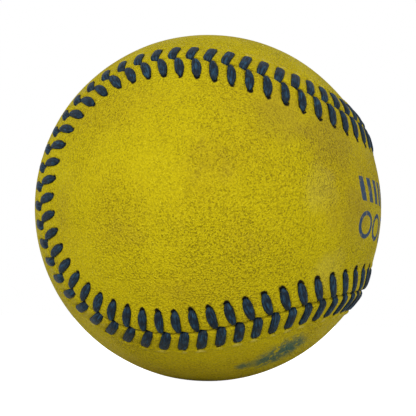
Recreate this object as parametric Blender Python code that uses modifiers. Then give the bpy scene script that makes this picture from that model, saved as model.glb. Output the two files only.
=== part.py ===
"""A stitched baseball, built up as on the maker's bench: a cork core in two layers of
moulded rubber, four windings of yarn, two figure-eight leather panels that cover it, and
the two strands of waxed thread that sew the panels together with 108 double stitches.

The frame has its origin at the ball's centre. +X runs through the waist of panel A, the
lobes of panel A lie on -Y and +Y, and the lobes of panel B on -Z and +Z. The ball rests on
the smooth middle of panel B's lower lobe.
"""

import bisect
import math

import bmesh
import bpy
from mathutils import Vector

MM = 0.001

# Overall sizes.
BALL_RADIUS = 37.17 * MM
CORK_RADIUS = 10.32 * MM

# Layers from the core outwards. The first winding fills whatever the others leave.
BLACK_RUBBER = 3.97 * MM
RED_RUBBER = 2.38 * MM
WHITE_WOOL = 1.77 * MM
GREY_WOOL = 2.27 * MM
COTTON = 0.60 * MM
LEATHER = 1.20 * MM
WASHER = 1.00 * MM
FIT_GAP = 0.20 * MM
LEATHER_GAP = 0.55 * MM
CHANNEL_RADIUS = 0.60 * MM

# The seam: how far its four lobes swing, and how high it lifts them off the equators.
SEAM_SWING = 0.495
SEAM_LIFT = 1.004

# Stitching.
STITCHES = 108
THREAD = 0.70 * MM
THREAD_CLEARANCE = 0.15 * MM
STRAND_GAP = 0.35 * MM
HOLE_OFFSET = 4.90 * MM
HOLE_CLEARANCE = 0.20 * MM
SHOULDER = 4.00 * MM

# The rhythm of the stitches, in shares of their pitch: how far a hole lies behind the
# place where its thread dives, how far the two rows of holes creep against each other,
# the stitch where they creep most, and how much the pitch swings.
LEAD = 0.235
CREEP = 0.315
CREEP_PHASE = 22
PITCH_SWING = 0.138

# Fineness of the round pieces and of the curves that are walked along.
STEPS = 20
RINGS = 10
SEAM_SAMPLES = 4320
LOBE_REACH = math.radians(108)
PANEL_ROWS = 6
HOLE_ROW = 1
SHOULDER_ROW = 3

# Everything below is worked out from the sizes above.
WOUND_RADIUS = BALL_RADIUS - LEATHER - LEATHER_GAP
WELT = THREAD + 2 * THREAD_CLEARANCE - LEATHER_GAP
HIDDEN_RADIUS = WOUND_RADIUS + THREAD_CLEARANCE + THREAD / 2
OVER_RADIUS = BALL_RADIUS + WELT + THREAD_CLEARANCE + THREAD / 2
SEAM_HALF_GAP = THREAD / 2 + THREAD_CLEARANCE
HOLE_HALF = THREAD / 2 + HOLE_CLEARANCE
STAGGER = THREAD + STRAND_GAP

A_SIDE = 1
B_SIDE = -1


def make_material(name, colour, roughness):
    """A plain Principled material in the piece's own colour."""
    material = bpy.data.materials.new(name)
    material.use_nodes = True
    shader = material.node_tree.nodes["Principled BSDF"]
    shader.inputs["Base Color"].default_value = (*colour, 1)
    shader.inputs["Roughness"].default_value = roughness
    shader.inputs["Metallic"].default_value = 0
    return material


def add_piece(name, data, material, collection):
    """One named object for one physical piece."""
    piece = bpy.data.objects.new(name, data)
    data.materials.append(material)
    collection.objects.link(piece)
    return piece


# ---------------------------------------------------------------- the seam


def seam_direction(turn):
    """The direction from the centre to the seam, where turn runs once round it."""
    return Vector(
        (
            SEAM_LIFT * math.cos(2 * turn),
            -math.sin(turn) - SEAM_SWING * math.sin(3 * turn),
            math.cos(turn) - SEAM_SWING * math.cos(3 * turn),
        )
    ).normalized()


def measure_seam():
    """Turns along the seam and the length from the first of them, on the ball's radius."""
    turns = [math.pi / 4 + 2 * math.pi * i / SEAM_SAMPLES for i in range(SEAM_SAMPLES + 1)]
    lengths = [0.0]
    for before, after in zip(turns, turns[1:]):
        step = (seam_direction(after) - seam_direction(before)).length
        lengths.append(lengths[-1] + step * BALL_RADIUS)
    return turns, lengths


TURNS, LENGTHS = measure_seam()
SEAM_LENGTH = LENGTHS[-1]
PITCH = SEAM_LENGTH / STITCHES


def turn_at(length):
    """The turn at a length along the seam, which may run past either end of it."""
    laps, rest = divmod(length, SEAM_LENGTH)
    i = min(max(bisect.bisect_right(LENGTHS, rest), 1), SEAM_SAMPLES)
    share = (rest - LENGTHS[i - 1]) / (LENGTHS[i] - LENGTHS[i - 1])
    return TURNS[i - 1] + share * (TURNS[i] - TURNS[i - 1]) + 2 * math.pi * laps


def beside_seam(length, offset):
    """The direction of a point offset from the seam, towards panel A where it is positive."""
    turn = turn_at(length)
    here = seam_direction(turn)
    ahead = (seam_direction(turn + 1e-3) - seam_direction(turn - 1e-3)).normalized()
    across = here.cross(ahead)
    angle = offset / BALL_RADIUS
    return (math.cos(angle) * here + math.sin(angle) * across).normalized()


def lap(stitch):
    """How far round the seam a stitch lies, as an angle."""
    return 2 * math.pi * stitch / STITCHES


def stitch_length(stitch):
    """Where a stitch crosses the seam. The four lobe tips have a slightly wider spacing."""
    return PITCH * (stitch - PITCH_SWING * math.sin(4 * lap(stitch)))


def dive_length(stitch, side):
    """Where the thread on one side of a double stitch goes down into the seam."""
    return stitch_length(stitch) - side * STAGGER / 2


def hole_length(stitch, side):
    """Where that thread comes up. The rows of holes creep to and fro three times round the seam."""
    creep = CREEP * math.cos(3 * lap(stitch - CREEP_PHASE))
    return dive_length(stitch, side) + PITCH * (side * creep - LEAD)


# ---------------------------------------------------------------- the round pieces


def arc(radius, start, end, count):
    """Points (x, z) on a circle about the centre, by angles from +Z."""
    angles = [start + (end - start) * i / count for i in range(count + 1)]
    points = [(radius * math.sin(a), radius * math.cos(a)) for a in angles]
    return [(0.0 if abs(x) < 1e-9 else x, z) for x, z in points]


def turned(name, profile, closed, material, collection):
    """A profile in the XZ plane, turned about Z."""
    mesh = bpy.data.meshes.new(name)
    edges = [(i, i + 1) for i in range(len(profile) - 1)]
    if closed:
        edges.append((len(profile) - 1, 0))
    mesh.from_pydata([(x, 0, z) for x, z in profile], edges, [])
    piece = add_piece(name, mesh, material, collection)
    screw = piece.modifiers.new("Turn", "SCREW")
    screw.axis = "Z"
    screw.angle = 2 * math.pi
    screw.steps = STEPS
    screw.render_steps = STEPS
    screw.use_merge_vertices = True
    screw.merge_threshold = 1e-5
    screw.use_smooth_shade = True
    return piece


def make_core(material, collection):
    mesh = bpy.data.meshes.new("cork_core")
    shape = bmesh.new()
    bmesh.ops.create_uvsphere(shape, u_segments=STEPS, v_segments=RINGS, radius=CORK_RADIUS)
    shape.to_mesh(mesh)
    shape.free()
    mesh.shade_smooth()
    return add_piece("cork_core", mesh, material, collection)


def make_half_shell(name, inside, outside, rim, lower, material, collection):
    """A moulded rubber cap, whose rim lies at the height rim above the equator."""
    outer = arc(outside, 0, math.acos(rim / outside), RINGS // 2)
    inner = arc(inside, math.acos(rim / inside), 0, RINGS // 2)
    cap = turned(name, outer + inner, False, material, collection)
    if lower:
        cap.rotation_euler.x = math.pi
    return cap


def make_washer(inside, outside, material, collection):
    half = WASHER / 2
    ring = [(inside, half), (outside, half), (outside, -half), (inside, -half)]
    return turned("shell_washer", ring, True, material, collection)


def make_winding(name, inside, outside, material, collection):
    """A hollow ball of yarn, with a narrow channel up to its top that keeps it open."""
    outer = arc(outside, math.asin(CHANNEL_RADIUS / outside), math.pi, RINGS)
    inner = arc(inside, math.pi, math.asin(CHANNEL_RADIUS / inside), RINGS)
    return turned(name, inner + outer, False, material, collection)


# ---------------------------------------------------------------- the cover


def spine_direction(turn, side):
    """The middle line of a panel, which its two long edges both lead to."""
    if side == A_SIDE:
        reach = LOBE_REACH * math.sin(turn)
        return Vector((math.cos(reach), -math.sin(reach), 0))
    reach = LOBE_REACH * math.cos(turn)
    return Vector((-math.cos(reach), 0, math.sin(reach)))


def panel_point(column, row, side):
    """A point of a panel's outer face. Rows 0 to 2 edge the seam and the holes."""
    stitch, second = divmod(column, 2)
    offsets = (SEAM_HALF_GAP, HOLE_OFFSET - HOLE_HALF, HOLE_OFFSET + HOLE_HALF)
    if row < len(offsets):
        length = hole_length(stitch, side) + (HOLE_HALF if second else -HOLE_HALF)
        return beside_seam(length, side * offsets[row]) * (BALL_RADIUS + WELT)
    length = stitch_length(stitch - (1 - second) / 2)
    edge = beside_seam(length, side * (HOLE_OFFSET + HOLE_HALF + SHOULDER))
    share = (row - len(offsets)) / (PANEL_ROWS - len(offsets))
    spine = spine_direction(turn_at(length), side)
    return edge.slerp(spine, share) * BALL_RADIUS


def make_panel(name, side, material, collection):
    """A figure-eight of leather with a thread hole for each stitch along its edge."""
    shape = bmesh.new()
    columns = 2 * STITCHES
    bmesh.ops.create_grid(shape, x_segments=columns, y_segments=PANEL_ROWS, size=1)

    def place(co):
        return round((co.x + 1) / 2 * columns), round((co.y + 1) / 2 * PANEL_ROWS)

    def kept_edge(edge):
        (column, row), (other, far_row) = sorted(place(v.co) for v in edge.verts)
        return column != other or max(row, far_row) < SHOULDER_ROW or column % 2 == 1

    def at_hole(face):
        middle = face.calc_center_median()
        column = math.floor((middle.x + 1) / 2 * columns)
        return column % 2 == 0 and math.floor((middle.y + 1) / 2 * PANEL_ROWS) == HOLE_ROW

    places = {v: place(v.co) for v in shape.verts}
    holes = [f for f in shape.faces if at_hole(f)]
    spare = [e for e in shape.edges if not e.is_boundary and not kept_edge(e)]
    for vertex, (column, row) in places.items():
        vertex.co = panel_point(column, row, side)
    bmesh.ops.delete(shape, geom=holes, context="FACES")
    bmesh.ops.remove_doubles(shape, verts=shape.verts[:], dist=1e-6)
    bmesh.ops.dissolve_edges(shape, edges=[e for e in spare if e.is_valid], use_verts=True)
    bmesh.ops.recalc_face_normals(shape, faces=shape.faces[:])
    first = next(iter(shape.faces))
    if first.normal.dot(first.calc_center_median()) < 0:
        bmesh.ops.reverse_faces(shape, faces=shape.faces[:])
    mesh = bpy.data.meshes.new(name)
    shape.to_mesh(mesh)
    shape.free()
    mesh.shade_smooth()
    panel = add_piece(name, mesh, material, collection)
    wall = panel.modifiers.new("Leather", "SOLIDIFY")
    wall.thickness = LEATHER
    wall.offset = -1
    return panel


# ---------------------------------------------------------------- the thread


def strand_points(first_side):
    """Up through a hole, over to the seam, down into it and on under the other panel."""
    points = []
    for stitch in range(STITCHES):
        side = first_side if stitch % 2 == 0 else -first_side
        hole = beside_seam(hole_length(stitch, side), side * HOLE_OFFSET)
        dive = beside_seam(dive_length(stitch, side), 0)
        points += [hole * HIDDEN_RADIUS, hole * OVER_RADIUS]
        points += [dive * OVER_RADIUS, dive * HIDDEN_RADIUS]
    tail = beside_seam(dive_length(STITCHES - 0.5, -first_side), first_side * HOLE_OFFSET / 4)
    return points + [tail * HIDDEN_RADIUS]


def make_strand(name, first_side, material, collection):
    """One strand of thread along its whole route, with its tail tucked under the leather."""
    curve = bpy.data.curves.new(name, "CURVE")
    curve.dimensions = "3D"
    curve.bevel_depth = THREAD / 2
    curve.bevel_resolution = 0
    curve.use_fill_caps = True
    points = strand_points(first_side)
    spline = curve.splines.new("POLY")
    spline.points.add(len(points) - 1)
    for target, point in zip(spline.points, points):
        target.co = (*point, 1)
    return add_piece(name, curve, material, collection)


# ---------------------------------------------------------------- the assembly


def clear_scene():
    for thing in list(bpy.data.objects):
        bpy.data.objects.remove(thing)


def main():
    clear_scene()
    ball = bpy.data.collections.new("baseball")
    bpy.context.scene.collection.children.link(ball)

    cork = make_material("cork_composition", (0.30, 0.16, 0.08), 0.85)
    black = make_material("black_rubber", (0.02, 0.02, 0.02), 0.6)
    red = make_material("red_rubber", (0.45, 0.05, 0.04), 0.6)
    grey_wool = make_material("grey_wool", (0.35, 0.34, 0.33), 0.95)
    white_wool = make_material("white_wool", (0.75, 0.72, 0.66), 0.95)
    cotton = make_material("white_cotton", (0.80, 0.78, 0.72), 0.9)
    leather = make_material("yellow_leather", (0.48, 0.39, 0.01), 0.55)
    waxed = make_material("waxed_thread", (0.03, 0.06, 0.10), 0.5)

    make_core(cork, ball)
    rim = WASHER / 2 + FIT_GAP
    black_outside = CORK_RADIUS + BLACK_RUBBER
    inside = CORK_RADIUS + FIT_GAP
    make_half_shell("black_shell_upper", inside, black_outside, rim, False, black, ball)
    make_half_shell("black_shell_lower", inside, black_outside, rim, True, black, ball)
    make_washer(inside, black_outside, red, ball)

    red_outside = black_outside + RED_RUBBER
    inside = black_outside + FIT_GAP
    make_half_shell("red_shell_upper", inside, red_outside, FIT_GAP / 2, False, red, ball)
    make_half_shell("red_shell_lower", inside, red_outside, FIT_GAP / 2, True, red, ball)

    cotton_inside = WOUND_RADIUS - COTTON
    grey_inside = cotton_inside - GREY_WOOL
    white_inside = grey_inside - WHITE_WOOL
    make_winding("main_winding", red_outside + FIT_GAP, white_inside, grey_wool, ball)
    make_winding("second_winding", white_inside + FIT_GAP, grey_inside, white_wool, ball)
    make_winding("third_winding", grey_inside + FIT_GAP, cotton_inside, grey_wool, ball)
    make_winding("finish_winding", cotton_inside + FIT_GAP, WOUND_RADIUS, cotton, ball)

    make_panel("cover_panel_a", A_SIDE, leather, ball)
    make_panel("cover_panel_b", B_SIDE, leather, ball)
    make_strand("thread_strand_1", A_SIDE, waxed, ball)
    make_strand("thread_strand_2", B_SIDE, waxed, ball)


main()
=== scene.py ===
"""Stitched baseball: the finished leather cover, its waxed stitching and the studio round it.

The CAD frame gives the size and the layers. This add-on lays two figure-eight panels of
pebbled leather over the windings, sews them with two strands of thread that follow the
same route as the CAD strands, gives the core and the windings their finishes, and sets up
the floor, the lights and the camera.
"""

import bisect
import math
import random

import bmesh
import bpy
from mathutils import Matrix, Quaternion, Vector, noise


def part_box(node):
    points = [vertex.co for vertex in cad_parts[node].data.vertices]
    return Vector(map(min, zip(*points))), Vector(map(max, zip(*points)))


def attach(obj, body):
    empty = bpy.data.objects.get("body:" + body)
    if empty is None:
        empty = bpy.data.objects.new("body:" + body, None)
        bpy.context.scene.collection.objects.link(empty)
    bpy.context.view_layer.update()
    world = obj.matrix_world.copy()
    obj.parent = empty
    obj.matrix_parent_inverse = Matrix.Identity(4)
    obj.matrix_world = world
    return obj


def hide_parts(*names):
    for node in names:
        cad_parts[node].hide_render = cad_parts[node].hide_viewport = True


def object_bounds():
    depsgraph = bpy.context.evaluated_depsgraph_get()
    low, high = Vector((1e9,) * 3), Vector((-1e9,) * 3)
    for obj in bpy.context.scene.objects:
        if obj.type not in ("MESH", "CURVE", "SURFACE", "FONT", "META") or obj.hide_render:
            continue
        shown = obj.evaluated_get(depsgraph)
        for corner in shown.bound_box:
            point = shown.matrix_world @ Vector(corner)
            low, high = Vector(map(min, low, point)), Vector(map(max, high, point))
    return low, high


bl_info = {
    "name": "Stitched Baseball",
    "version": (1, 0, 0),
    "blender": (4, 5, 0),
    "location": "View3D > Sidebar > Baseball",
    "description": "Leather cover, stitching, core finishes and a studio for a baseball",
    "category": "Object",
}

MM = 0.001

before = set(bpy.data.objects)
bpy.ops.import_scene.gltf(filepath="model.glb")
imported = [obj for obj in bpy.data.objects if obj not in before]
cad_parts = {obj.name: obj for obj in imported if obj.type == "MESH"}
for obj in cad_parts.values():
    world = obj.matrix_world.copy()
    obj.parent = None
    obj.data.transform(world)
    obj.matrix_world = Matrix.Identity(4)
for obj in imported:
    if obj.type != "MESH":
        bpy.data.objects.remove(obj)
CAD_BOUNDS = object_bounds()
PANEL_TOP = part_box("cover_panel_b")[1].z
WOUND_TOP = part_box("finish_winding")[1].x
A_SIDE = 1
B_SIDE = -1


# ---------------------------------------------------------------- what a user can change


class SeamSettings(bpy.types.PropertyGroup):
    """Where the seam runs, and the rhythm of the stitches along it."""

    radius: bpy.props.FloatProperty(
        name="Ball radius",
        description="Radius of the smooth leather",
        default=PANEL_TOP,
        unit="LENGTH",
    )
    swing: bpy.props.FloatProperty(
        name="Swing", description="How far the seam's four lobes swing out", default=0.495
    )
    lift: bpy.props.FloatProperty(
        name="Lift", description="How high the seam stands off the equators", default=1.004
    )
    stitches: bpy.props.IntProperty(
        name="Stitches", description="Double stitches round the seam", default=108
    )
    stagger: bpy.props.FloatProperty(
        name="Stagger",
        description="Distance along the seam between a stitch's two dives",
        default=1.05 * MM,
        unit="LENGTH",
    )
    hole_offset: bpy.props.FloatProperty(
        name="Hole offset",
        description="Distance from the seam to the middle of a thread hole",
        default=4.90 * MM,
        unit="LENGTH",
    )
    lead: bpy.props.FloatProperty(
        name="Lead", description="How far a hole lies behind its dive, in pitches", default=0.235
    )
    creep: bpy.props.FloatProperty(
        name="Creep", description="How far the two rows of holes creep, in pitches", default=0.315
    )
    creep_phase: bpy.props.FloatProperty(
        name="Creep phase", description="The stitch where the rows creep most", default=22.0
    )
    pitch_swing: bpy.props.FloatProperty(
        name="Pitch swing", description="How much the pitch swings, in pitches", default=0.138
    )


class CoverSettings(bpy.types.PropertyGroup):
    """The leather: its relief along the seam, and its colours."""

    thickness: bpy.props.FloatProperty(
        name="Leather", description="Thickness of the leather", default=1.2 * MM, unit="LENGTH"
    )
    welt: bpy.props.FloatProperty(
        name="Welt",
        description="How far the leather stands up along the seam",
        default=0.45 * MM,
        unit="LENGTH",
    )
    groove: bpy.props.FloatProperty(
        name="Groove",
        description="How deep a stitch presses into the leather",
        default=0.34 * MM,
        unit="LENGTH",
    )
    tongue: bpy.props.FloatProperty(
        name="Tongue",
        description="How far the leather swells between two stitches",
        default=0.14 * MM,
        unit="LENGTH",
    )
    pucker: bpy.props.FloatProperty(
        name="Pucker",
        description="Depth of the folds that run on from the holes",
        default=0.12 * MM,
        unit="LENGTH",
    )
    uneven: bpy.props.FloatProperty(
        name="Unevenness",
        description="How far the smooth leather sinks in places",
        default=0.10 * MM,
        unit="LENGTH",
    )
    dye: bpy.props.FloatVectorProperty(
        name="Dye", description="Yellow of the clean leather",
        default=(0.58, 0.472, 0.003), subtype="COLOR",
    )
    worn_dye: bpy.props.FloatVectorProperty(
        name="Worn dye", description="Yellow where the leather is rubbed and aged",
        default=(0.54, 0.418, 0.005), subtype="COLOR",
    )
    pore: bpy.props.FloatVectorProperty(
        name="Pore", description="Brown soil in the pores of the grain",
        default=(0.12, 0.078, 0.006), subtype="COLOR",
    )
    dirt: bpy.props.FloatVectorProperty(
        name="Dirt", description="Brown of the soiled patches",
        default=(0.25, 0.16, 0.03), subtype="COLOR",
    )
    # Painted highlight: this colour is mixed in as soft highlight patches on panel A and on panel B's
    # raised hole rims.
    pale: bpy.props.FloatVectorProperty(
        name="Pale", description="Bleached patches",
        default=(0.62, 0.53, 0.12), subtype="COLOR",
    )
    ink: bpy.props.FloatVectorProperty(
        name="Ink", description="Blue of the stamped ornament",
        default=(0.012, 0.06, 0.16), subtype="COLOR",
    )
    smear: bpy.props.FloatVectorProperty(
        name="Smear", description="Rubbed blue-green ink",
        default=(0.045, 0.12, 0.10), subtype="COLOR",
    )
    grain: bpy.props.FloatProperty(
        name="Grain", description="Width of one pebble of the grain",
        default=0.42 * MM, unit="LENGTH",
    )


class ThreadSettings(bpy.types.PropertyGroup):
    """The waxed thread."""

    diameter: bpy.props.FloatProperty(
        name="Thread", description="Diameter where the thread is round and hidden",
        default=0.7 * MM, unit="LENGTH",
    )
    clearance: bpy.props.FloatProperty(
        name="Clearance", description="Room between the hidden thread and the windings",
        default=0.15 * MM, unit="LENGTH",
    )
    dark: bpy.props.FloatVectorProperty(
        name="Dark fibre", description="Navy of the wax in the fibres' grooves",
        default=(0.003, 0.010, 0.020), subtype="COLOR",
    )
    light: bpy.props.FloatVectorProperty(
        name="Light fibre", description="Slate of the fibres' crowns",
        default=(0.024, 0.080, 0.145), subtype="COLOR",
    )


class CoreSettings(bpy.types.PropertyGroup):
    """The colours under the leather."""

    cork: bpy.props.FloatVectorProperty(
        name="Cork", description="Ground cork", default=(0.36, 0.20, 0.10), subtype="COLOR"
    )
    black: bpy.props.FloatVectorProperty(
        name="Black rubber", description="First moulded layer",
        default=(0.018, 0.018, 0.02), subtype="COLOR",
    )
    red: bpy.props.FloatVectorProperty(
        name="Red rubber", description="Second moulded layer",
        default=(0.42, 0.05, 0.04), subtype="COLOR",
    )
    grey_wool: bpy.props.FloatVectorProperty(
        name="Grey wool", description="First and third winding",
        default=(0.34, 0.33, 0.32), subtype="COLOR",
    )
    white_wool: bpy.props.FloatVectorProperty(
        name="White wool", description="Second winding",
        default=(0.74, 0.71, 0.65), subtype="COLOR",
    )
    cotton: bpy.props.FloatVectorProperty(
        name="Cotton", description="Finishing winding",
        default=(0.80, 0.78, 0.71), subtype="COLOR",
    )


class StudioSettings(bpy.types.PropertyGroup):
    """The camera's place and the light."""

    azimuth: bpy.props.FloatProperty(
        name="Azimuth", description="Camera's turn about Z from -Y",
        default=math.radians(1.415), subtype="ANGLE",
    )
    elevation: bpy.props.FloatProperty(
        name="Elevation", description="Camera's height above the ball's equator",
        default=math.radians(-5.651), subtype="ANGLE",
    )
    roll: bpy.props.FloatProperty(
        name="Roll", description="Camera's turn about its own view",
        default=math.radians(1.827), subtype="ANGLE",
    )
    distance: bpy.props.FloatProperty(
        name="Distance", description="From the ball's centre to the camera",
        default=245.0 * MM, unit="LENGTH",
    )
    lens: bpy.props.FloatProperty(
        name="Lens", description="Focal length in millimetres on a 36 mm sensor", default=97.8
    )
    floor: bpy.props.FloatVectorProperty(
        name="Floor", description="Pale floor", default=(0.86, 0.86, 0.86), subtype="COLOR"
    )
    sky: bpy.props.FloatProperty(
        name="Sky", description="Strength of the soft light from all round", default=0.50
    )
    key: bpy.props.FloatProperty(
        name="Key light", description="Power of the light at the upper left", default=5.2, unit="POWER"
    )
    fill: bpy.props.FloatProperty(
        name="Fill light", description="Power of the light at the right", default=3.9, unit="POWER"
    )


SETTINGS = {
    "ball_seam": SeamSettings,
    "ball_cover": CoverSettings,
    "ball_thread": ThreadSettings,
    "ball_core": CoreSettings,
    "ball_studio": StudioSettings,
}


# ---------------------------------------------------------------- small helpers


def smoothstep(low, high, value):
    share = min(max((value - low) / (high - low), 0.0), 1.0)
    return share * share * (3 - 2 * share)


def bump(value):
    """A round hump over -1 to 1."""
    return (1 - value * value) ** 2 if abs(value) < 1 else 0.0


def grid(columns, rows):
    """A bmesh grid, and the column and row of each of its vertices."""
    shape = bmesh.new()
    bmesh.ops.create_grid(shape, x_segments=columns, y_segments=rows, size=1)
    places = {
        v: (round((v.co.x + 1) / 2 * columns), round((v.co.y + 1) / 2 * rows))
        for v in shape.verts
    }
    return shape, places


def lay_map(shape, name, places, point):
    """A UV map from a function of column and row."""
    layer = shape.loops.layers.uv.new(name)
    for face in shape.faces:
        for loop in face.loops:
            loop[layer].uv = point(*places[loop.vert])


def finish_piece(shape, name, material, node):
    """Turns the bmesh into a smooth piece that stands for a CAD node and rides on the ball."""
    bmesh.ops.recalc_face_normals(shape, faces=shape.faces[:])
    mesh = bpy.data.meshes.new(name)
    shape.to_mesh(mesh)
    shape.free()
    mesh.shade_smooth()
    mesh.materials.append(material)
    piece = bpy.data.objects.new(name, mesh)
    bpy.context.scene.collection.objects.link(piece)
    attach(piece, "root")
    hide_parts(node)
    return piece


# ---------------------------------------------------------------- the seam


class Seam:
    """The seam's line on the ball, and the stitches' places along it."""

    SAMPLES = 4320

    def __init__(self, settings):
        self.s = settings
        start = math.pi / 4
        step = 2 * math.pi / self.SAMPLES
        self.turns = [start + step * i for i in range(self.SAMPLES + 1)]
        self.lengths = [0.0]
        for before, after in zip(self.turns, self.turns[1:]):
            run = (self.direction(after) - self.direction(before)).length
            self.lengths.append(self.lengths[-1] + run * settings.radius)
        self.length = self.lengths[-1]
        self.pitch = self.length / settings.stitches

    def direction(self, turn):
        """The direction from the centre to the seam, where turn runs once round it."""
        return Vector(
            (
                self.s.lift * math.cos(2 * turn),
                -math.sin(turn) - self.s.swing * math.sin(3 * turn),
                math.cos(turn) - self.s.swing * math.cos(3 * turn),
            )
        ).normalized()

    def turn_at(self, length):
        laps, rest = divmod(length, self.length)
        i = min(max(bisect.bisect_right(self.lengths, rest), 1), self.SAMPLES)
        share = (rest - self.lengths[i - 1]) / (self.lengths[i] - self.lengths[i - 1])
        turn = self.turns[i - 1] + share * (self.turns[i] - self.turns[i - 1])
        return turn + 2 * math.pi * laps

    def ahead(self, turn):
        return (self.direction(turn + 1e-3) - self.direction(turn - 1e-3)).normalized()

    def beside(self, length, offset):
        """The direction of a point offset from the seam, towards panel A where positive."""
        turn = self.turn_at(length)
        here = self.direction(turn)
        across = here.cross(self.ahead(turn))
        angle = offset / self.s.radius
        return (math.cos(angle) * here + math.sin(angle) * across).normalized()

    def lap(self, stitch):
        return 2 * math.pi * stitch / self.s.stitches

    def stitch(self, number):
        """Where a stitch crosses the seam."""
        return self.pitch * (number - self.s.pitch_swing * math.sin(4 * self.lap(number)))

    def dive(self, number, side):
        """Where the thread on one side of a double stitch goes down into the seam."""
        return self.stitch(number) - side * self.s.stagger / 2

    def hole(self, number, side):
        """Where that thread comes up."""
        creep = self.s.creep * math.cos(3 * self.lap(number - self.s.creep_phase))
        return self.dive(number, side) + self.pitch * (side * creep - self.s.lead)

    def spine(self, turn, side):
        """The middle line of a panel, which its two long edges both lead to."""
        if side == A_SIDE:
            reach = math.radians(108) * math.sin(turn)
            return Vector((math.cos(reach), -math.sin(reach), 0))
        reach = math.radians(108) * math.cos(turn)
        return Vector((-math.cos(reach), 0, math.sin(reach)))


# ---------------------------------------------------------------- the leather cover

# Across one stitch, in pitches: five lines over the groove of the thread and its walls,
# and the rest over the swelling between two stitches.
STITCH_COLUMNS = (-0.345, -0.255, -0.205, -0.12, 0.0, 0.12, 0.205, 0.255, 0.345, 0.5)
HOLE_COLUMNS = (-0.12, 0.0)

# Away from the seam, in millimetres: the rolled edge, the stitches, the holes (4.45 to
# 5.35) and the folds that fade behind them. Past the shoulder come even steps on to the
# spine, which the map counts as FAR_MAP millimetres.
OUTER_ROWS = (
    0.04, 0.10, 0.22, 0.40, 0.65, 1.0, 1.4, 1.9, 2.4, 2.9, 3.4, 3.9, 4.45, 4.9, 5.35,
    5.6, 5.9, 6.3, 6.8, 7.4, 8.1, 8.9, 9.8,
)
INNER_ROWS = (0.04, 4.45, 4.9, 5.35, 9.8)
HOLE_ROWS = (4.45, 4.9)
FAR_ROWS = 15
INNER_FAR_ROWS = 4
SHOULDER = 9.8 * MM
FAR_MAP = 20.0

# The rounding of the cut edge, how far the edge draws back for a thread and over what part
# of the pitch, half the width of the groove under a stitch, the dip at a hole, the ring of
# leather pushed up behind it and half the width of the folds.
LIP = 0.6 * MM
NOTCH = 0.42 * MM
NOTCH_HALF = 0.17
GROOVE_HALF = {A_SIDE: 0.95 * MM, B_SIDE: 1.0 * MM}
DIMPLE = 0.26 * MM
DIMPLE_REACH = 0.62 * MM
RING = {A_SIDE: 0.12 * MM, B_SIDE: 0.24 * MM}
RING_RADIUS = 1.15 * MM
RING_REACH = 0.42 * MM
FOLD_HALF = 1.1 * MM

# Distances from the seam over which each part of the relief comes or goes, and the distance
# from a stitch's middle over which the swelling beside it comes.
WELT_FALL = (0.3 * MM, 5.5 * MM)
FLESH_FALL = (5.2 * MM, 9.4 * MM)
SWELL_START = (0.2 * MM, 1.6 * MM)
SWELL_END = (3.8 * MM, 6.2 * MM)
SWELL_SIDE = (0.8 * MM, 1.7 * MM)
FOLD_START = (4.8 * MM, 5.8 * MM)
FOLD_END = (6.0 * MM, 9.2 * MM)
SUNK_START = (5.5 * MM, 9.8 * MM)


def lifted(cover, offset):
    """How high the grain side stands over the ball: most at the seam, nothing past the holes."""
    return cover.welt * (1 - smoothstep(*WELT_FALL, offset))


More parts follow.
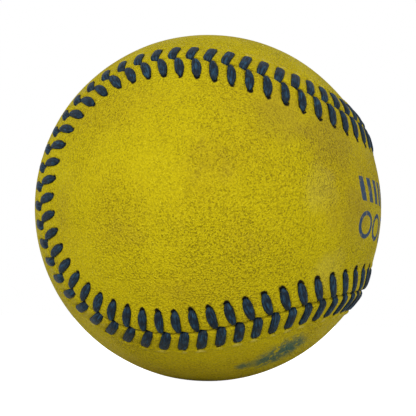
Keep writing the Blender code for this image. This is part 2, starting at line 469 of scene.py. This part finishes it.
class CoverPanel:
    """One figure-eight of leather, as rows of points from the flesh side round the cut
    edge to the grain side."""

    def __init__(self, seam, cover, side, seed):
        self.seam = seam
        self.cover = cover
        self.side = side
        chance = random.Random(seed)
        count = seam.s.stitches
        self.swell = [chance.uniform(0.75, 1.25) for _ in range(count)]
        self.fold = [chance.uniform(0.5, 1.5) for _ in range(count)]
        inner = [("in", w * MM) for w in INNER_ROWS]
        inner += [("in_far", (i + 1) / INNER_FAR_ROWS) for i in range(INNER_FAR_ROWS)]
        outer = [("out", w * MM) for w in OUTER_ROWS]
        outer += [("out_far", (i + 1) / FAR_ROWS) for i in range(FAR_ROWS)]
        self.rows = inner[::-1] + outer

    def stitch_of(self, column):
        """The stitch number, with its fraction, that a column lies at."""
        number, step = divmod(column, len(STITCH_COLUMNS))
        return number + STITCH_COLUMNS[step]

    def along(self, stitch, offset):
        """A column's length along the seam: from the dive straight to the hole, and then
        back to an even spacing, which the two sides of the panel share at the spine."""
        hole = self.seam.s.hole_offset
        start = self.seam.dive(stitch, self.side)
        slope = (self.seam.hole(stitch, self.side) - start) / hole
        even = smoothstep(hole * 1.15, SHOULDER, offset)
        straight = start + slope * min(offset, hole * 1.3)
        return straight * (1 - even) + self.seam.stitch(stitch) * even

    def edge(self, across):
        """How far the cut edge draws back from the seam to let both threads through."""
        other = self.side * self.seam.s.stagger / self.seam.pitch
        return NOTCH * max(bump(across / NOTCH_HALF), bump((across - other) / NOTCH_HALF))

    def relief(self, stitch, offset, away):
        """Height over the smooth leather at a place along the seam, in metres."""
        number = round(stitch)
        across = (stitch - number) * self.seam.pitch
        swell = self.swell[number % len(self.swell)]
        fold = self.fold[number % len(self.fold)]
        hole = self.seam.s.hole_offset
        height = lifted(self.cover, offset)
        if away < LIP:
            height -= LIP - math.sqrt(LIP * LIP - (LIP - away) ** 2)
        under = math.sqrt(max(0.0, 1 - (across / GROOVE_HALF[self.side]) ** 2))
        pressed = 1 - smoothstep(hole - 0.5 * MM, hole + 0.3 * MM, offset)
        height -= self.cover.groove * under * pressed
        between = smoothstep(*SWELL_SIDE, abs(across))
        length = smoothstep(*SWELL_START, offset) * (1 - smoothstep(*SWELL_END, offset))
        height += self.cover.tongue * swell * between * length
        from_hole = math.hypot(across, offset - hole)
        height -= DIMPLE * math.exp(-((from_hole / DIMPLE_REACH) ** 2))
        if offset > hole:
            ring = math.exp(-(((from_hole - RING_RADIUS) / RING_REACH) ** 2))
            height += RING[self.side] * fold * ring
        folds = smoothstep(*FOLD_START, offset) * (1 - smoothstep(*FOLD_END, offset))
        height -= self.cover.pucker * fold * folds * bump(across / FOLD_HALF)
        return height

    def point(self, column, row):
        kind, place = self.rows[row]
        stitch = self.stitch_of(column)
        radius = self.seam.s.radius
        if kind in ("in_far", "out_far"):
            length = self.along(stitch, SHOULDER)
            start = self.seam.beside(length, self.side * SHOULDER)
            spine = self.seam.spine(self.seam.turn_at(length), self.side)
            way = start.slerp(spine, place)
            if kind == "in_far":
                return way * (radius - self.cover.thickness)
            return way * (radius - self.sunk(way, 1.0))
        across = stitch - round(stitch)
        back = self.edge(across)
        offset = place + back * (1 - smoothstep(0, 1.3 * MM, place))
        way = self.seam.beside(self.along(stitch, offset), self.side * offset)
        if kind == "in":
            rise = self.cover.welt * (1 - smoothstep(*FLESH_FALL, offset))
            return way * (radius + rise - self.cover.thickness)
        height = self.relief(stitch, offset, place)
        height -= self.sunk(way, smoothstep(*SUNK_START, offset))
        return way * (radius + height)

    def sunk(self, way, share):
        """Broad, shallow unevenness of the smooth leather."""
        if share <= 0:
            return 0.0
        broad = noise.noise(way * 4.1 + Vector((3.7 * self.side, 1.3, 8.1)))
        fine = noise.noise(way * 11.0 + Vector((0.4, 5.2 * self.side, 2.6)))
        return self.cover.uneven * share * (0.5 + 0.38 * broad + 0.12 * fine)

    def map_point(self, column, row):
        """U counts stitches, V is millimetres from the seam, below zero on the flesh side."""
        kind, place = self.rows[row]
        across = SHOULDER / MM + place * FAR_MAP if kind.endswith("_far") else place / MM
        flip = -1 if kind in ("in", "in_far") else 1
        return (self.stitch_of(column), flip * across)

    def build(self, name, material, node):
        columns = len(STITCH_COLUMNS) * self.seam.s.stitches
        shape, places = grid(columns, len(self.rows) - 1)
        lay_map(shape, "stitches", places, self.map_point)
        hole_steps = [STITCH_COLUMNS.index(c) for c in HOLE_COLUMNS]
        starts = {
            kind: [self.rows.index((kind, w * MM)) for w in HOLE_ROWS] for kind in ("in", "out")
        }
        cut = {"in": [], "out": []}
        for face in shape.faces:
            column = min(places[v][0] for v in face.verts)
            row = min(places[v][1] for v in face.verts)
            if column % len(STITCH_COLUMNS) not in hole_steps:
                continue
            if row in starts["out"]:
                cut["out"].append(face)
            elif row + 1 in starts["in"]:
                cut["in"].append(face)
        for vertex, (column, row) in places.items():
            vertex.co = self.point(column, row)
        bmesh.ops.delete(shape, geom=cut["out"] + cut["in"], context="FACES")
        bmesh.ops.remove_doubles(shape, verts=shape.verts[:], dist=2e-6)
        rims = [e for e in shape.edges if e.is_boundary]
        self.line_holes(shape, rims)
        return finish_piece(shape, name, material, node)

    def line_holes(self, shape, rims):
        """Walls from each hole's rim on the grain side to its rim on the flesh side."""
        groups = {}
        for edge in rims:
            middle = (edge.verts[0].co + edge.verts[1].co) / 2
            groups.setdefault(self.nearest_hole(middle), []).append(edge)
        for edges in groups.values():
            bmesh.ops.bridge_loops(shape, edges=edges)

    def nearest_hole(self, place):
        if not hasattr(self, "holes"):
            count = self.seam.s.stitches
            self.holes = [
                self.seam.beside(self.seam.hole(k, self.side), self.side * self.seam.s.hole_offset)
                for k in range(count)
            ]
        way = place.normalized()
        return max(range(len(self.holes)), key=lambda k: self.holes[k].dot(way))


# ---------------------------------------------------------------- the stitching

# Along a visible stitch: distance from the seam, height over the leather, half width and
# half height, all in millimetres. It comes up through the hole and dives into the seam.
LEAF_A = (
    (4.90, -1.70, 0.35, 0.35),
    (5.08, -0.60, 0.36, 0.33),
    (5.00, -0.20, 0.48, 0.32),
    (4.60, 0.00, 0.76, 0.34),
    (3.90, 0.06, 0.94, 0.38),
    (3.00, 0.06, 0.97, 0.40),
    (2.10, 0.05, 0.90, 0.40),
    (1.30, 0.01, 0.74, 0.39),
    (0.65, -0.12, 0.54, 0.37),
    (0.22, -0.55, 0.40, 0.36),
    (0.00, -1.70, 0.35, 0.35),
)
LEAF_B = (
    (4.90, -1.70, 0.35, 0.35),
    (4.98, -0.75, 0.48, 0.34),
    (4.90, -0.20, 0.84, 0.34),
    (4.50, 0.02, 0.95, 0.36),
    (3.70, 0.05, 0.97, 0.39),
    (2.80, 0.05, 0.97, 0.40),
    (1.90, 0.04, 0.97, 0.40),
    (1.10, 0.01, 0.96, 0.40),
    (0.60, -0.12, 0.93, 0.38),
    (0.22, -0.52, 0.80, 0.36),
    (0.00, -1.70, 0.35, 0.35),
)
# Each side's leaf, and how far its middle bows along the seam.
LEAVES = {A_SIDE: (LEAF_A, 0.16 * MM), B_SIDE: (LEAF_B, 0.0)}
THREAD_SIDES = 8


class Strand:
    """One strand of waxed thread on its whole route through the leather."""

    def __init__(self, seam, cover, thread, first_side, seed):
        self.seam = seam
        self.thread = thread
        self.first_side = first_side
        self.cover = cover
        self.hidden = WOUND_TOP + thread.clearance + thread.diameter / 2
        self.chance = random.Random(seed)

    def stitch_samples(self, number, side):
        """Points along one stitch, each with its half width, half height and side vector."""
        wide = self.chance.uniform(0.94, 1.03)
        high = self.chance.uniform(0.95, 1.02)
        shift = self.chance.uniform(-0.05, 0.05) * MM
        leaf, bow = LEAVES[side]
        dive = self.seam.dive(number, side)
        hole = self.seam.hole(number, side)
        samples = []
        for offset, rise, half_width, half_height in leaf:
            share = offset * MM / self.seam.s.hole_offset
            shown = bump(2 * share - 1)
            length = dive + (hole - dive) * share + (shift - bow) * shown
            way = self.seam.beside(length, side * offset * MM)
            over = self.seam.s.radius + lifted(self.cover, offset * MM)
            radius = max(over + rise * MM, self.hidden)
            ahead = self.seam.ahead(self.seam.turn_at(length))
            samples.append((way * radius, half_width * wide * MM, half_height * high * MM, ahead))
        return samples

    def route(self):
        """All samples of the strand, with a run under the leather after each stitch."""
        samples = []
        count = self.seam.s.stitches
        half = self.thread.diameter / 2
        for number in range(count):
            side = self.first_side if number % 2 == 0 else -self.first_side
            samples += self.stitch_samples(number, side)
            dive = self.seam.dive(number, side)
            if number + 1 < count:
                hole = self.seam.hole(number + 1, -side)
                length, offset = (dive + hole) / 2, -side * self.seam.s.hole_offset / 2
            else:
                length = self.seam.dive(count - 0.5, side)
                offset = -side * self.seam.s.hole_offset / 4
            way = self.seam.beside(length, offset)
            ahead = self.seam.ahead(self.seam.turn_at(length))
            samples.append((way * self.hidden, half, half, ahead))
        return samples

    def frames(self):
        """Each sample as centre, side vector and up vector, scaled to the section."""
        samples = self.route()
        last = len(samples) - 1
        made = []
        for i, (centre, half_width, half_height, ahead) in enumerate(samples):
            before, after = samples[max(i - 1, 0)][0], samples[min(i + 1, last)][0]
            tangent = (after - before).normalized()
            side = (ahead - tangent * ahead.dot(tangent)).normalized()
            up = tangent.cross(side)
            shut = 0.0 if i in (0, last) else 1.0
            made.append((centre, side * half_width * shut, up * half_height * shut))
        return made

    def build(self, name, material, node):
        frames = self.frames()
        lengths = [0.0]
        for before, after in zip(frames, frames[1:]):
            lengths.append(lengths[-1] + (after[0] - before[0]).length)
        shape, places = grid(len(frames) - 1, THREAD_SIDES)
        lay_map(
            shape, "fibres", places,
            lambda column, row: (lengths[column] / MM, row / THREAD_SIDES),
        )
        for vertex, (column, row) in places.items():
            centre, side, up = frames[column]
            turn = 2 * math.pi * row / THREAD_SIDES
            vertex.co = centre + math.cos(turn) * side + math.sin(turn) * up
        bmesh.ops.remove_doubles(shape, verts=shape.verts[:], dist=2e-6)
        return finish_piece(shape, name, material, node)


# ---------------------------------------------------------------- shader building


class Shader:
    """A material's node tree, with short calls for the nodes that the finishes need."""

    def __init__(self, name):
        self.material = bpy.data.materials.new(name)
        self.material.use_nodes = True
        self.tree = self.material.node_tree
        self.surface = self.tree.nodes["Principled BSDF"]
        self.place = self.node("ShaderNodeTexCoord").outputs["Object"]

    def node(self, kind, inputs=None, **settings):
        made = self.tree.nodes.new(kind)
        for name, value in settings.items():
            setattr(made, name, value)
        for key, value in (inputs or {}).items():
            if isinstance(value, bpy.types.NodeSocket):
                self.tree.links.new(value, made.inputs[key])
            else:
                made.inputs[key].default_value = value
        return made

    def math(self, operation, first, second=0.0):
        return self.node("ShaderNodeMath", {0: first, 1: second}, operation=operation).outputs[0]

    def times(self, first, *others):
        """The product of a socket and more sockets or numbers."""
        for other in others:
            first = self.math("MULTIPLY", first, other)
        return first

    def ramp(self, value, low, high, start=0.0, end=1.0):
        """A smooth step from start to end as value goes from low to high."""
        inputs = {"Value": value, "From Min": low, "From Max": high, "To Min": start, "To Max": end}
        return self.node("ShaderNodeMapRange", inputs, interpolation_type="SMOOTHSTEP").outputs[0]

    def mix(self, share, first, second):
        """A colour between two colours, each given as a socket or as three numbers."""
        made = self.node("ShaderNodeMix", data_type="RGBA")
        for key, value in ((0, share), (6, first), (7, second)):
            if isinstance(value, bpy.types.NodeSocket):
                self.tree.links.new(value, made.inputs[key])
            else:
                made.inputs[key].default_value = value if key == 0 else (*value, 1)
        return made.outputs[2]

    def noise(self, scale, detail=2.0, rough=0.5, where=None):
        inputs = {"Vector": where or self.place, "Scale": scale, "Detail": detail, "Roughness": rough}
        return self.node("ShaderNodeTexNoise", inputs).outputs["Fac"]

    def cells(self, scale, feature="F1", where=None, output="Distance"):
        inputs = {"Vector": where or self.place, "Scale": scale}
        return self.node("ShaderNodeTexVoronoi", inputs, feature=feature).outputs[output]

    def warped(self, scale, amount):
        """Object coordinates shaken by a noise, so that a pattern on them is irregular."""
        shake = self.node("ShaderNodeTexNoise", {"Vector": self.place, "Scale": scale})
        centred = self.vector("SUBTRACT", shake.outputs["Color"], (0.5, 0.5, 0.5))
        moved = self.node("ShaderNodeVectorMath", {0: centred, "Scale": amount}, operation="SCALE")
        return self.vector("ADD", self.place, moved.outputs[0])

    def vector(self, operation, first, second):
        made = self.node("ShaderNodeVectorMath", {0: first, 1: second}, operation=operation)
        return made.outputs["Value" if operation in ("DISTANCE", "DOT_PRODUCT") else "Vector"]

    def patch(self, centre, radius, ragged=0.5, scale=260.0):
        """1 in a ragged patch about a point, fading to 0 at its radius, both in millimetres."""
        away = self.vector("DISTANCE", self.place, tuple(c * MM for c in centre))
        radius *= MM
        shake = self.times(self.math("SUBTRACT", self.noise(scale, 4), 0.5), radius * ragged * 2)
        return self.ramp(self.math("ADD", away, shake), radius, radius * 0.25)

    def stained(self, colour, spots, strength, stain, ragged=0.5, scale=260.0):
        """The colour with ragged spots of a stain over it. The strength may be a socket."""
        for centre, radius in spots:
            spot = self.patch(centre, radius, ragged, scale)
            colour = self.mix(self.times(spot, strength), colour, stain)
        return colour

    def coordinates(self, name):
        made = self.node("ShaderNodeUVMap", uv_map=name)
        parts = self.node("ShaderNodeSeparateXYZ", {0: made.outputs[0]})
        return parts.outputs[0], parts.outputs[1]

    def bump(self, height, distance):
        return self.node("ShaderNodeBump", {"Height": height, "Distance": distance}).outputs[0]

    def finish(self, colour, roughness, normal, specular=0.5):
        links = self.tree.links
        links.new(colour, self.surface.inputs["Base Color"])
        if isinstance(roughness, bpy.types.NodeSocket):
            links.new(roughness, self.surface.inputs["Roughness"])
        else:
            self.surface.inputs["Roughness"].default_value = roughness
        links.new(normal, self.surface.inputs["Normal"])
        self.surface.inputs["Specular IOR Level"].default_value = specular
        return self.material


# ---------------------------------------------------------------- the leather's finish

# Spots on the ball: the place from its centre and the radius, in millimetres.
DIRT_A = (
    ((24.0, -25.0, 12.0), 11.0),
    ((29.0, -22.0, -3.0), 9.0),
    ((14.0, -31.0, 16.0), 8.0),
)
GRAIN_A = (((6.0, -34.0, -10.0), 24.0), ((22.0, -28.0, 6.0), 17.0))
# Painted highlight patches on panel A, where the light falls brightest.
HIGHLIGHT_PATCHES_A = (((24.6, -24.2, -13.8), 6.0), ((22.0, -30.0, 1.0), 6.5))
SMEAR_B = (
    ((12.6, -13.6, -32.2), 4.2), ((15.6, -14.5, -30.5), 5.6), ((18.1, -15.0, -28.8), 5.0),
    ((8.8, -14.4, -33.1), 2.6),
)

# Painted highlight on the crowns of the grain's pebbles, and painted shade in the crease and the holes.
CROWN_HIGHLIGHT = (0.80, 0.69, 0.03)
CREASE_AND_HOLE_SHADE = (0.008, 0.007, 0.006)

# The painted shadow round a hole, in millimetres: half its width along the seam, and for each panel
# the distance of its middle from the cut edge and how far it reaches across the seam. Panel
# B's painted highlights on its raised hole rims lie at the last of these distances from the cut edge.
HOLE_HALF = 0.75
HOLE_SHADOW = {A_SIDE: (5.15, 1.05), B_SIDE: (4.95, 0.60)}
RIM_HIGHLIGHT = 5.9

# The stamped border, in millimetres: the rings' spacing, radius and height on the waist,
# the bars' spacing, height and slant, and how far the border runs each way.
RING_SPACING = 6.0
STAMPED_RING = 2.35
RING_LEVEL = -4.2
BAR_SPACING = 3.2
BAR_LEVEL = 2.9
BAR_SLANT = 0.25
BORDER_HALF = 21.0


def ornament(shader):
    """A stamped border on the waist of panel A: a chain of rings under a row of bars."""
    parts = shader.node("ShaderNodeSeparateXYZ", {0: shader.place})
    along = shader.times(parts.outputs["Y"], 1 / MM)
    up = shader.times(parts.outputs["Z"], 1 / MM)
    front = shader.math("GREATER_THAN", parts.outputs["X"], 0.0)
    inside = shader.math("LESS_THAN", shader.math("ABSOLUTE", along), BORDER_HALF)
    half = RING_SPACING / 2
    turn = shader.math("PINGPONG", shader.math("ADD", along, half), half)
    across = shader.math("SUBTRACT", turn, half)
    high = shader.math("SUBTRACT", up, RING_LEVEL)
    squared = shader.math("ADD", shader.times(across, across), shader.times(high, high))
    away = shader.math("ABSOLUTE", shader.math("SUBTRACT", shader.math("SQRT", squared), STAMPED_RING))
    ring = shader.ramp(away, 0.55, 0.35)
    slanted = shader.math("ADD", along, shader.times(up, BAR_SLANT))
    bar = shader.ramp(shader.math("PINGPONG", slanted, BAR_SPACING / 2), 1.0, 0.8)
    band = shader.ramp(shader.math("ABSOLUTE", shader.math("SUBTRACT", up, BAR_LEVEL)), 2.5, 2.3)
    drawn = shader.math("MAXIMUM", ring, shader.times(bar, band))
    worn = shader.ramp(shader.noise(900.0, 3), 0.30, 0.45, 0.55, 1.0)
    return shader.times(drawn, worn, front, inside)


def leather_material(name, cover, pitch, side):
    """Pebbled yellow leather: grain with painted highlights on its pebbles' crowns, soiled pores,
    rubbed areas, stains, painted highlight patches and painted shade in the seam's crease and holes."""
    shader = Shader(name)
    stitch, away = shader.coordinates("stitches")

    # The grain: fine pebbles with soiled pits, stronger in some places.
    wide = 1.0 / cover.grain
    apart = shader.cells(wide, where=shader.warped(1500.0, 0.30 * MM))
    pits = shader.noise(1.2 * wide, 1.5, 0.6)
    between = shader.ramp(apart, 0.50, 0.85, 0.0, 0.6)
    deep = shader.math("MAXIMUM", shader.ramp(pits, 0.48, 0.34), between)
    high = shader.ramp(apart, 0.34, 0.06)
    strong = shader.ramp(shader.noise(70.0, 3.0, 0.6), 0.34, 0.62, 0.50, 0.9)
    if side == A_SIDE:
        for centre, radius in GRAIN_A:
            near = shader.patch(centre, radius, scale=120.0)
            strong = shader.math("MAXIMUM", strong, near)

    # Colour.
    broad = shader.noise(45.0, 4.0, 0.6)
    colour = shader.mix(shader.ramp(broad, 0.35, 0.7), cover.dye, cover.worn_dye)
    # Painted highlight: the crowns of the pebbles are lightened.
    colour = shader.mix(shader.times(high, 0.62), colour, CROWN_HIGHLIGHT)
    colour = shader.mix(shader.times(deep, strong, 0.66), colour, cover.pore)
    soil = shader.ramp(shader.noise(0.75 * wide, 3.0, 0.7), 0.55, 0.75, 0.0, 0.15)
    colour = shader.mix(shader.times(soil, strong), colour, cover.pore)
    if side == A_SIDE:
        colour = shader.stained(colour, DIRT_A, 0.28, cover.dirt)
        # Painted highlight patches, mixed in as a pale colour.
        colour = shader.stained(colour, HIGHLIGHT_PATCHES_A, 0.15, cover.pale, ragged=0.7)
        colour = shader.mix(shader.times(ornament(shader), 0.93), colour, cover.ink)
    else:
        streak = shader.ramp(shader.noise(700.0, 4.0, 0.75), 0.36, 0.50, 0.0, 0.8)
        colour = shader.stained(colour, SMEAR_B, streak, cover.smear, 0.35, 620.0)
    grime = shader.ramp(shader.noise(95.0, 5.0, 0.65), 0.55, 0.8, 0.0, 0.25)
    colour = shader.mix(grime, colour, cover.dirt)

    # Painted shade darkens the crease, the holes and the flesh side, and a painted highlight lightens
    # panel B's raised hole rims.
    nearest = shader.math("SUBTRACT", stitch, shader.math("ROUND", stitch))
    if side == B_SIDE:
        # Painted highlight on panel B's raised rims behind the holes, broken up by a noise.
        rim = shader.ramp(shader.math("ABSOLUTE", shader.math("SUBTRACT", away, RIM_HIGHLIGHT)), 0.5, 0.2)
        close = shader.ramp(shader.math("ABSOLUTE", nearest), 0.34, 0.2)
        rubbed = shader.ramp(shader.noise(420.0), 0.4, 0.6)
        colour = shader.mix(shader.times(rim, close, rubbed, 0.5), colour, cover.pale)
    middle, reach = HOLE_SHADOW[side]
    aside = shader.times(nearest, pitch / MM / HOLE_HALF)
    beyond = shader.math("DIVIDE", shader.math("SUBTRACT", away, middle), reach)
    squared = shader.math("ADD", shader.times(aside, aside), shader.times(beyond, beyond))
    ragged = shader.math("ADD", shader.math("SQRT", squared), shader.noise(900.0, 2.0))
    # Painted shade: the crease, the places round the holes and the flesh side go dark.
    crease = shader.ramp(away, 0.35, 0.05, 0.0, 0.3)
    dark = shader.math("MAXIMUM", crease, shader.ramp(ragged, 1.65, 1.25))
    dark = shader.math("MAXIMUM", dark, shader.ramp(away, 0.03, -0.2))
    colour = shader.mix(dark, colour, CREASE_AND_HOLE_SHADE)

    # Relief of the grain.
    pebble = shader.math("SUBTRACT", shader.times(pits, 1.6), apart)
    height = shader.times(pebble, shader.math("ADD", strong, 0.15))
    normal = shader.bump(height, 0.20 * MM)
    roughness = shader.ramp(shader.noise(130.0, 3.0), 0.3, 0.7, 0.45, 0.62)
    return shader.finish(colour, roughness, normal, 0.05)


# ---------------------------------------------------------------- the other finishes


def thread_material(name, thread):
    """Waxed thread: dark wax between fibres that run along the strand."""
    shader = Shader(name)
    along, round_it = shader.coordinates("fibres")
    drawn_out = {0: shader.times(along, 0.35), 1: shader.times(round_it, 9.0)}
    stretched = shader.node("ShaderNodeCombineXYZ", drawn_out).outputs[0]
    fibre = shader.noise(1.6, 4.0, 0.65, stretched)
    patchy = shader.noise(650.0, 3.0, 0.6)
    light = shader.times(shader.ramp(fibre, 0.40, 0.66), shader.ramp(patchy, 0.38, 0.58, 0.15, 1.0))
    colour = shader.mix(light, thread.dark, thread.light)
    normal = shader.bump(fibre, 0.22 * MM)
    roughness = shader.ramp(patchy, 0.3, 0.7, 0.38, 0.58)
    return shader.finish(colour, roughness, normal, 0.22)


def cork_material(name, colour):
    """Ground cork and rubber: light and dark granules pressed together."""
    shader = Shader(name)
    grains = shader.cells(900.0, output="Color")
    shade = shader.node("ShaderNodeSeparateColor", {0: grains}).outputs[0]
    ground = shader.mix(shade, tuple(c * 0.35 for c in colour), colour)
    gaps = shader.ramp(shader.cells(900.0, "DISTANCE_TO_EDGE"), 0.0, 0.12)
    ground = shader.mix(gaps, (0.03, 0.02, 0.015), ground)
    return shader.finish(ground, 0.85, shader.bump(gaps, 0.1 * MM))


def rubber_material(name, colour):
    """Moulded rubber: dusty bloom over a dull skin."""
    shader = Shader(name)
    bloom = shader.ramp(shader.noise(180.0, 5.0, 0.6), 0.4, 0.75, 0.0, 0.35)
    skin = shader.mix(bloom, colour, tuple(0.6 * c + 0.08 for c in colour))
    roughness = shader.ramp(shader.noise(400.0, 3.0), 0.3, 0.7, 0.5, 0.72)
    return shader.finish(skin, roughness, shader.bump(shader.noise(1500.0, 3.0), 0.02 * MM))


def yarn_material(name, colour, gauge):
    """Wound yarn: turns that cross in every direction, each of twisted fibre."""
    shader = Shader(name)
    turns = []
    for tilt in ((0.3, 0.9, 0.2), (-0.8, 0.3, 0.5), (0.5, -0.4, 0.8)):
        way = Vector(tilt).normalized()
        run = shader.vector("DOT_PRODUCT", shader.warped(90.0, 1.5 * MM), tuple(way))
        wave = shader.math("SINE", shader.times(run, 2 * math.pi / gauge))
        turns.append(shader.math("ADD", shader.times(wave, 0.5), 0.5))
    chosen = shader.noise(70.0, 2.0)
    first = shader.times(turns[0], shader.ramp(chosen, 0.46, 0.50))
    second = shader.times(turns[1], shader.ramp(chosen, 0.50, 0.46))
    crossing = shader.math("MAXIMUM", first, second)
    height = shader.math("MAXIMUM", crossing, shader.times(turns[2], 0.5))
    # Painted shade: the wool is darker where the turns lie low between the crossings.
    wool = shader.mix(shader.ramp(height, 0.0, 0.7), tuple(c * 0.35 for c in colour), colour)
    fuzz = shader.ramp(shader.noise(2200.0, 3.0), 0.4, 0.7, 0.0, 0.25)
    wool = shader.mix(fuzz, wool, tuple(c * 0.6 for c in colour))
    return shader.finish(wool, 0.9, shader.bump(height, gauge * 0.4))


# ---------------------------------------------------------------- operators


class MakeCover(bpy.types.Operator):
    """Make the two leather panels with their rolled edges, grooves and thread holes"""

    bl_idname = "baseball.make_cover"
    bl_label = "Leather Cover"

    def execute(self, context):
        scene = context.scene
        seam = Seam(scene.ball_seam)
        cover = scene.ball_cover
        for letter, side, seed in (("a", A_SIDE, 11), ("b", B_SIDE, 12)):
            material = leather_material(f"yellow_leather_{letter}", cover, seam.pitch, side)
            panel = CoverPanel(seam, cover, side, seed)
            panel.build(f"leather_panel_{letter}", material, f"cover_panel_{letter}")
        return {"FINISHED"}


class MakeStitching(bpy.types.Operator):
    """Make the two strands of waxed thread on their whole route"""

    bl_idname = "baseball.make_stitching"
    bl_label = "Stitching"

    def execute(self, context):
        scene = context.scene
        seam = Seam(scene.ball_seam)
        material = thread_material("navy_waxed_thread", scene.ball_thread)
        for number, side in ((1, A_SIDE), (2, B_SIDE)):
            strand = Strand(seam, scene.ball_cover, scene.ball_thread, side, 20 + number)
            strand.build(f"stitching_strand_{number}", material, f"thread_strand_{number}")
        return {"FINISHED"}


class FinishCore(bpy.types.Operator):
    """Give the cork, the rubber layers and the windings their finishes"""

    bl_idname = "baseball.finish_core"
    bl_label = "Core Finishes"

    def execute(self, context):
        core = context.scene.ball_core
        finishes = (
            (cork_material("ground_cork", core.cork), ("cork_core",)),
            (rubber_material("black_rubber_skin", core.black), ("black_shell_upper", "black_shell_lower")),
            (
                rubber_material("red_rubber_skin", core.red),
                ("red_shell_upper", "red_shell_lower", "shell_washer"),
            ),
            (
                yarn_material("grey_wool_yarn", core.grey_wool, 1.6 * MM),
                ("main_winding", "third_winding"),
            ),
            (yarn_material("white_wool_yarn", core.white_wool, 1.3 * MM), ("second_winding",)),
            (yarn_material("cotton_yarn", core.cotton, 0.5 * MM), ("finish_winding",)),
        )
        for material, nodes in finishes:
            for name in nodes:
                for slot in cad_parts[name].material_slots:
                    slot.material = material
        return {"FINISHED"}


SOFTBOX = 0.60
FLOOR_HALF = 6.0
FLOOR_BOUNCE = (0.80, 0.80, 0.80, 1)


class MakeStudio(bpy.types.Operator):
    """Make the pale floor, the soft lights and the camera"""

    bl_idname = "baseball.make_studio"
    bl_label = "Studio"

    def execute(self, context):
        scene = context.scene
        studio = scene.ball_studio
        scene.view_settings.view_transform = "Standard"
        self.make_floor(scene, studio)
        self.make_sky(scene, studio)
        self.make_light(scene, "key_light", (-0.45, -0.90, 0.40), studio.key)
        self.make_light(scene, "fill_light", (0.60, -0.84, 0.04), studio.fill)
        self.make_camera(scene, studio)
        return {"FINISHED"}

    def make_floor(self, scene, studio):
        shape = bmesh.new()
        bmesh.ops.create_grid(shape, x_segments=8, y_segments=8, size=FLOOR_HALF)
        bmesh.ops.translate(shape, verts=shape.verts[:], vec=(0, 0, CAD_BOUNDS[0].z))
        mesh = bpy.data.meshes.new("floor")
        shape.to_mesh(mesh)
        shape.free()
        mesh.materials.append(self.floor_material(studio))
        floor = bpy.data.objects.new("floor", mesh)
        scene.collection.objects.link(floor)

    def floor_material(self, studio):
        """Glows pale where the camera sees it, and gives the ball a plain matt bounce."""
        shader = Shader("pale_floor")
        tree = shader.tree
        matt = shader.node("ShaderNodeBsdfDiffuse", {"Color": (*studio.floor, 1)})
        bounce = shader.node("ShaderNodeBsdfDiffuse", {"Color": FLOOR_BOUNCE})
        glow = shader.node("ShaderNodeEmission", {"Strength": 1.0})
        lit = shader.node("ShaderNodeAddShader")
        tree.links.new(matt.outputs[0], lit.inputs[0])
        tree.links.new(glow.outputs[0], lit.inputs[1])
        path = shader.node("ShaderNodeLightPath")
        seen = shader.node("ShaderNodeMixShader", {0: path.outputs["Is Camera Ray"]})
        tree.links.new(bounce.outputs[0], seen.inputs[1])
        tree.links.new(lit.outputs[0], seen.inputs[2])
        tree.links.new(seen.outputs[0], tree.nodes["Material Output"].inputs[0])
        return shader.material

    def make_sky(self, scene, studio):
        world = bpy.data.worlds.new("studio_sky")
        world.use_nodes = True
        scene.world = world
        tree = world.node_tree
        sky = tree.nodes["Background"]
        sky.inputs["Color"].default_value = (1, 1, 1, 1)
        path = tree.nodes.new("ShaderNodeLightPath")
        strength = tree.nodes.new("ShaderNodeMapRange")
        strength.inputs["To Min"].default_value = studio.sky
        strength.inputs["To Max"].default_value = 1.0
        tree.links.new(path.outputs["Is Camera Ray"], strength.inputs["Value"])
        tree.links.new(strength.outputs[0], sky.inputs["Strength"])

    def make_light(self, scene, name, place, power):
        data = bpy.data.lights.new(name, "AREA")
        data.shape = "DISK"
        data.size = SOFTBOX
        data.energy = power
        light = bpy.data.objects.new(name, data)
        light.location = place
        light.rotation_mode = "QUATERNION"
        light.rotation_quaternion = (-Vector(place)).to_track_quat("-Z", "Y")
        scene.collection.objects.link(light)

    def make_camera(self, scene, studio):
        data = bpy.data.cameras.new("camera")
        data.sensor_width = 36
        data.lens = studio.lens
        data.clip_start = 0.01
        data.clip_end = 20
        level = math.cos(studio.elevation)
        back = Vector(
            (
                math.sin(studio.azimuth) * level,
                -math.cos(studio.azimuth) * level,
                math.sin(studio.elevation),
            )
        )
        camera = bpy.data.objects.new("camera", data)
        camera.location = back * studio.distance
        camera.rotation_mode = "QUATERNION"
        facing = (-back).to_track_quat("-Z", "Y")
        camera.rotation_quaternion = facing @ Quaternion((0, 0, 1), studio.roll)
        scene.collection.objects.link(camera)
        scene.camera = camera


class BaseballPanel(bpy.types.Panel):
    """Lists the steps that finish the ball"""

    bl_idname = "VIEW3D_PT_baseball"
    bl_label = "Stitched Baseball"
    bl_space_type = "VIEW_3D"
    bl_region_type = "UI"
    bl_category = "Baseball"

    def draw(self, context):
        for operator in OPERATORS:
            self.layout.operator(operator.bl_idname)
        for name, group in SETTINGS.items():
            box = self.layout.box()
            box.label(text=group.__name__)
            for setting in group.__annotations__:
                box.prop(getattr(context.scene, name), setting)


OPERATORS = (MakeCover, MakeStitching, FinishCore, MakeStudio)


def register():
    for group in SETTINGS.values():
        bpy.utils.register_class(group)
    for name, group in SETTINGS.items():
        setattr(bpy.types.Scene, name, bpy.props.PointerProperty(type=group))
    for operator in (*OPERATORS, BaseballPanel):
        bpy.utils.register_class(operator)


def unregister():
    for operator in (*OPERATORS, BaseballPanel):
        bpy.utils.unregister_class(operator)
    for name, group in SETTINGS.items():
        delattr(bpy.types.Scene, name)
        bpy.utils.unregister_class(group)


def main():
    register()
    bpy.ops.baseball.make_cover()
    bpy.ops.baseball.make_stitching()
    bpy.ops.baseball.finish_core()
    bpy.ops.baseball.make_studio()


if __name__ == "__main__":
    main()
